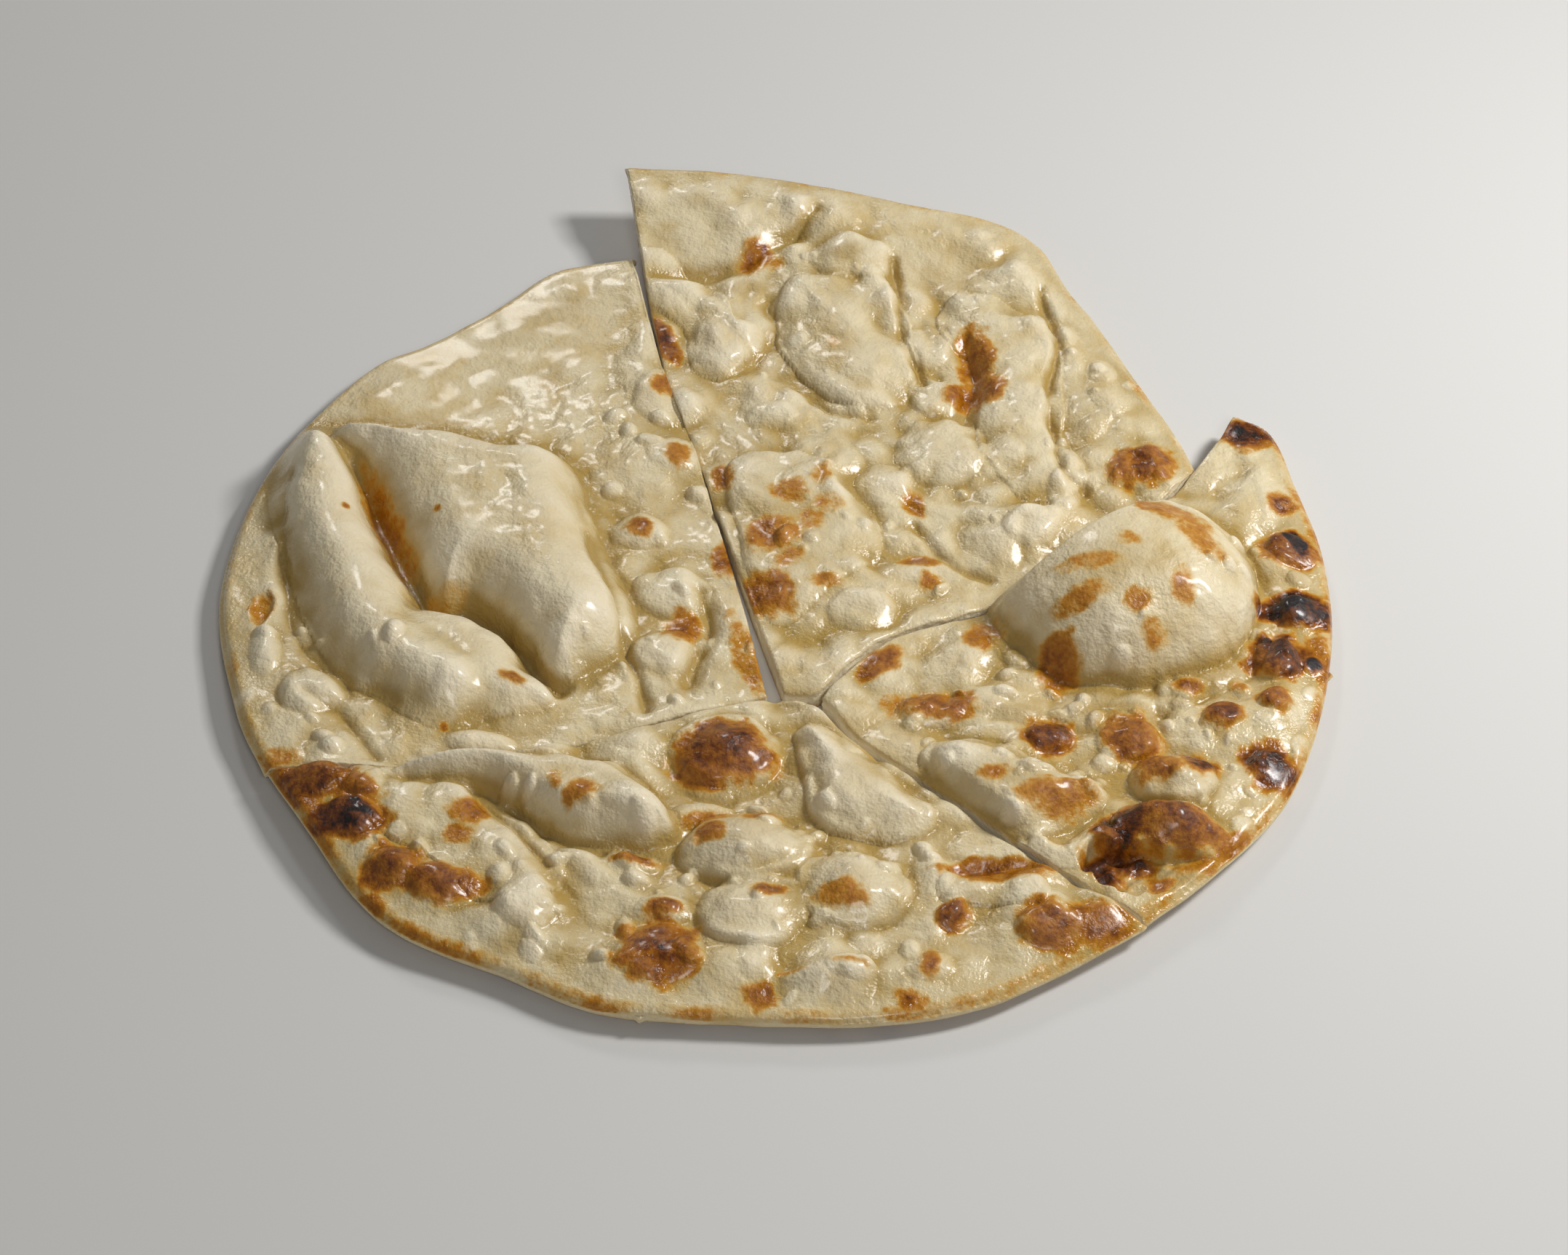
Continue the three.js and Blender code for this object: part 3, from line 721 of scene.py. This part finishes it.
def bake_quarter(context, quarter):
    """Models one quarter, gives it its crust, hangs it under the root body and hides its CAD node."""
    sizes = context.scene.naan_sizes
    piece = slab(quarter["name"] + "_crust")
    press(piece, quarter, sculpt(quarter, sizes))
    piece.data.materials.append(crust_material(quarter["name"], context.scene.naan_colours))
    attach(piece, "root")
    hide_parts(quarter["name"])


# ---- the crust's material --------------------------------------------------------------------

def linear(hex_colour):
    """A linear colour from an sRGB hex value."""
    parts = [int(hex_colour[k:k + 2], 16) / 255 for k in (1, 3, 5)]
    return [p / 12.92 if p <= 0.04045 else ((p + 0.055) / 1.055) ** 2.4 for p in parts] + [1.0]


def node(tree, kind, settings=None, **links):
    """Adds a node, sets its properties and its sockets, and links the sockets given as outputs.

    A socket's name has __ for each space, and a socket without a name of its own is _ and its number.
    """
    made = tree.nodes.new(kind)
    for key, value in (settings or {}).items():
        setattr(made, key, value)
    for key, value in links.items():
        name = key.strip("_").replace("__", " ")
        socket = made.inputs[int(name)] if name.isdigit() else made.inputs[name]
        if isinstance(value, bpy.types.NodeSocket):
            tree.links.new(value, socket)
        else:
            socket.default_value = value
    return made


def ramp(tree, value, stops):
    """A colour ramp through (place, colour) stops, in order from 0 to 1."""
    made = node(tree, "ShaderNodeValToRGB", Fac=value)
    elements = made.color_ramp.elements
    for place, colour in stops[1:-1]:
        elements.new(place)
    for element, (place, colour) in zip(elements, stops):
        element.position, element.color = place, colour
    return made.outputs[0]


def crust_material(name, colours):
    """Leavened wheat dough baked on a clay wall and brushed with butter: pale and matt where the dough
    stayed dry and floury, yellow and glossy where the butter went in, brown to black on the blisters,
    darker in the hollows by painted shade and whiter on the raised tops by painted light."""
    material = bpy.data.materials.new("buttered_tandoor_crust_" + name)
    material.use_nodes = True
    tree = material.node_tree
    tree.nodes.clear()
    place = node(tree, "ShaderNodeTexCoord").outputs["Object"]

    def read(attribute):
        return node(tree, "ShaderNodeAttribute", {"attribute_name": attribute}).outputs["Fac"]

    def grain(size_mm, detail=2.0):
        return node(tree, "ShaderNodeTexNoise", Vector=place, Scale=1 / (size_mm * MM),
                    Detail=detail).outputs["Fac"]

    def shade(factor, one, two):
        made = node(tree, "ShaderNodeMix", {"data_type": "RGBA"}, Factor=factor)
        for socket, value in zip((made.inputs[6], made.inputs[7]), (one, two)):
            if isinstance(value, bpy.types.NodeSocket):
                tree.links.new(value, socket)
            else:
                socket.default_value = value
        return made.outputs[2]

    def sum_up(operation, one, two, clamp=False):
        settings = {"operation": operation, "use_clamp": clamp}
        return node(tree, "ShaderNodeMath", settings, _0=one, _1=two).outputs[0]

    char, soak_and_shade, butter = read("char"), read("soak_and_shade"), read("butter")
    painted_top_light, crumb, under = read("painted_top_light"), read("crumb"), read("under")

    pale = shade(grain(28), tuple(colours.dough), linear("#d6c090"))
    pale = shade(sum_up("MULTIPLY", grain(1.6), 0.35), pale, linear("#efe3c4"))
    blotch = node(tree, "ShaderNodeMapRange", Value=grain(11, 3.0), From__Min=0.45, From__Max=0.68,
                  To__Max=0.6).outputs[0]
    pale = shade(blotch, pale, linear("#c8a862"))
    # Painted light: the raised tops are mixed towards a near-white cream.
    pale = shade(sum_up("MULTIPLY", painted_top_light, 0.8), pale, linear("#f2e6ca"))
    # The butter-soaked places and the painted shade in the hollows both take the soaked colour.
    pale = shade(soak_and_shade, pale, tuple(colours.soaked_and_shade_colour))
    speckle = sum_up("ADD", grain(1.3, 4.0), sum_up("MULTIPLY", grain(3.6, 3.0), 1.5))
    baked = sum_up("ADD", char, sum_up("MULTIPLY", sum_up("SUBTRACT", speckle, 1.25), 0.4))
    baked = sum_up("MULTIPLY", baked, sum_up("MULTIPLY", char, 6.0, clamp=True), clamp=True)
    brown = ramp(tree, baked, [
        (0.0, linear("#d8bb7c")), (0.2, linear("#d0a348")), (0.4, linear("#bf8222")),
        (0.6, linear("#a2620c")), (0.78, linear("#703804")), (0.92, linear("#361604")),
        (1.0, linear("#120603")),
    ])
    colour = shade(sum_up("MULTIPLY", baked, 2.6, clamp=True), pale, brown)
    colour = shade(crumb, colour, linear("#efe3c6"))
    freckle = node(tree, "ShaderNodeMapRange", Value=grain(7, 3.0), From__Min=0.52,
                   From__Max=0.72).outputs[0]
    bottom = shade(freckle, linear("#dcc091"), linear("#9a5f22"))
    colour = shade(under, colour, bottom)

    drops = sum_up("ADD", grain(5), sum_up("MULTIPLY", grain(1.5), 0.6))
    gloss = sum_up("ADD", butter, sum_up("SUBTRACT", drops, 0.8), clamp=True)
    rough = node(tree, "ShaderNodeMapRange", Value=gloss, To__Min=0.6, To__Max=0.12).outputs[0]
    rough = sum_up("ADD", rough, sum_up("MULTIPLY", under, 0.3), clamp=True)

    fine = node(tree, "ShaderNodeBump", Strength=0.65, Distance=0.00045, Height=grain(0.9, 3.0))
    coarse = node(tree, "ShaderNodeBump", Strength=0.55, Distance=0.001, Height=grain(2.8, 2.0),
                  Normal=fine.outputs[0])
    surface = node(
        tree, "ShaderNodeBsdfPrincipled", {"subsurface_method": "RANDOM_WALK"},
        Base__Color=colour, Roughness=rough, IOR=1.46, Subsurface__Weight=0.1,
        Subsurface__Radius=(1.0, 0.7, 0.4), Subsurface__Scale=0.0016, Coat__Weight=0.32,
        Coat__Roughness=0.16, Normal=coarse.outputs[0])
    node(tree, "ShaderNodeOutputMaterial", Surface=surface.outputs[0])
    return material


# ---- the stage -------------------------------------------------------------------------------

AIM = (0.0025, -0.0197, 0.0)  # the place that the camera and the lights point at
CAMERA_AWAY = 0.882
CAMERA_SLOPE = math.radians(45)

# name, place, size, power
LIGHTS = (
    ("key_light", (0.6, 0.12, 0.62), 0.17, 5.6),
    ("fill_light", (0.15, -0.85, 0.8), 0.2, 2.0),
    ("back_light", (-0.2, 0.9, 0.7), 0.16, 1.8),
)


def plain_material(name, colour, roughness):
    """A matt painted backdrop."""
    material = bpy.data.materials.new(name)
    material.use_nodes = True
    surface = material.node_tree.nodes["Principled BSDF"]
    surface.inputs["Base Color"].default_value = linear(colour)
    surface.inputs["Roughness"].default_value = roughness
    return material


def softbox(name, place, size, power):
    """A square studio light that points at the bread."""
    bpy.ops.object.light_add(type="AREA", location=place)
    light = bpy.context.object
    light.name = name
    light.rotation_euler = (Vector(AIM) - Vector(place)).to_track_quat("-Z", "Y").to_euler()
    light.data.shape = "SQUARE"
    light.data.size = size
    light.data.energy = power


def set_stage(context):
    """The pale floor, the soft light and the camera."""
    bpy.ops.object.select_all(action="DESELECT")
    bpy.ops.mesh.primitive_plane_add(size=6, location=(0, 0, 0))
    floor = context.object
    floor.name = "studio_floor"
    floor.data.materials.append(plain_material("pale_studio_paper", "#d8d6d2", 0.8))
    for light in LIGHTS:
        softbox(*light)
    world = bpy.data.worlds.new("studio")
    world.use_nodes = True
    world.node_tree.nodes["Background"].inputs["Color"].default_value = (1, 1, 1, 1)
    world.node_tree.nodes["Background"].inputs["Strength"].default_value = 0.14
    context.scene.world = world
    bpy.ops.object.camera_add(
        location=(AIM[0], AIM[1] - CAMERA_AWAY * math.cos(CAMERA_SLOPE),
                  CAMERA_AWAY * math.sin(CAMERA_SLOPE)),
        rotation=(math.pi / 2 - CAMERA_SLOPE, 0, 0))
    camera = context.object
    camera.name = "camera"
    camera.data.lens = 75
    camera.data.sensor_width = 36
    context.scene.camera = camera
    context.scene.view_settings.view_transform = "Standard"


# ---- the add-on ------------------------------------------------------------------------------

class NaanSizes(bpy.types.PropertyGroup):
    """Sizes of the bread that a user would change."""
    dough: bpy.props.FloatProperty(
        name="Dough", description="Thickness of the plain dough between the bubbles",
        default=5 * MM, min=2 * MM, max=12 * MM, unit="LENGTH")
    rim: bpy.props.FloatProperty(
        name="Rim", description="Thickness of the dough at the baked rim",
        default=3.8 * MM, min=1 * MM, max=10 * MM, unit="LENGTH")


class NaanColours(bpy.types.PropertyGroup):
    """Colours of the bread that a user would change."""
    dough: bpy.props.FloatVectorProperty(
        name="Dough", description="Colour of the plain baked dough", subtype="COLOR",
        size=4, min=0, max=1, default=linear("#e1d2aa"))
    # Also the colour of the painted shade in the hollows.
    soaked_and_shade_colour: bpy.props.FloatVectorProperty(
        name="Soaked dough", description="Colour of the dough where melted butter has pooled",
        subtype="COLOR", size=4, min=0, max=1, default=linear("#ab8a3c"))


class NAAN_OT_left_quarter(bpy.types.Operator):
    """Model the left quarter, with its puffed pillow and long roll"""
    bl_idname = "naan.left_quarter"
    bl_label = "Left quarter"

    def execute(self, context):
        bake_quarter(context, LEFT)
        return {"FINISHED"}


class NAAN_OT_back_quarter(bpy.types.Operator):
    """Model the back quarter, the palest, whose far corner is lifted"""
    bl_idname = "naan.back_quarter"
    bl_label = "Back quarter"

    def execute(self, context):
        bake_quarter(context, BACK)
        return {"FINISHED"}


class NAAN_OT_right_quarter(bpy.types.Operator):
    """Model the right quarter, with its great bubble and charred rim"""
    bl_idname = "naan.right_quarter"
    bl_label = "Right quarter"

    def execute(self, context):
        bake_quarter(context, RIGHT)
        return {"FINISHED"}


class NAAN_OT_front_quarter(bpy.types.Operator):
    """Model the front quarter, with its browned bubbles"""
    bl_idname = "naan.front_quarter"
    bl_label = "Front quarter"

    def execute(self, context):
        bake_quarter(context, FRONT)
        return {"FINISHED"}


class NAAN_OT_stage(bpy.types.Operator):
    """Set up the floor, the lights and the camera"""
    bl_idname = "naan.stage"
    bl_label = "Stage"

    def execute(self, context):
        set_stage(context)
        return {"FINISHED"}


class NAAN_PT_panel(bpy.types.Panel):
    """Sizes, colours and steps of the naan"""
    bl_idname = "NAAN_PT_panel"
    bl_label = "Naan bread"
    bl_space_type = "VIEW_3D"
    bl_region_type = "UI"
    bl_category = "Naan"

    def draw(self, context):
        for group in (context.scene.naan_sizes, context.scene.naan_colours):
            for name in group.__annotations__:
                self.layout.prop(group, name)
        for step in STEPS:
            self.layout.operator(step.bl_idname)


STEPS = (NAAN_OT_left_quarter, NAAN_OT_back_quarter, NAAN_OT_right_quarter,
         NAAN_OT_front_quarter, NAAN_OT_stage)
CLASSES = (NaanSizes, NaanColours, *STEPS, NAAN_PT_panel)


def register():
    for made in CLASSES:
        bpy.utils.register_class(made)
    bpy.types.Scene.naan_sizes = bpy.props.PointerProperty(type=NaanSizes)
    bpy.types.Scene.naan_colours = bpy.props.PointerProperty(type=NaanColours)


def unregister():
    del bpy.types.Scene.naan_colours
    del bpy.types.Scene.naan_sizes
    for made in reversed(CLASSES):
        bpy.utils.unregister_class(made)


def main():
    register()
    bpy.ops.naan.left_quarter()
    bpy.ops.naan.back_quarter()
    bpy.ops.naan.right_quarter()
    bpy.ops.naan.front_quarter()
    bpy.ops.naan.stage()


if __name__ == "__main__":
    main()
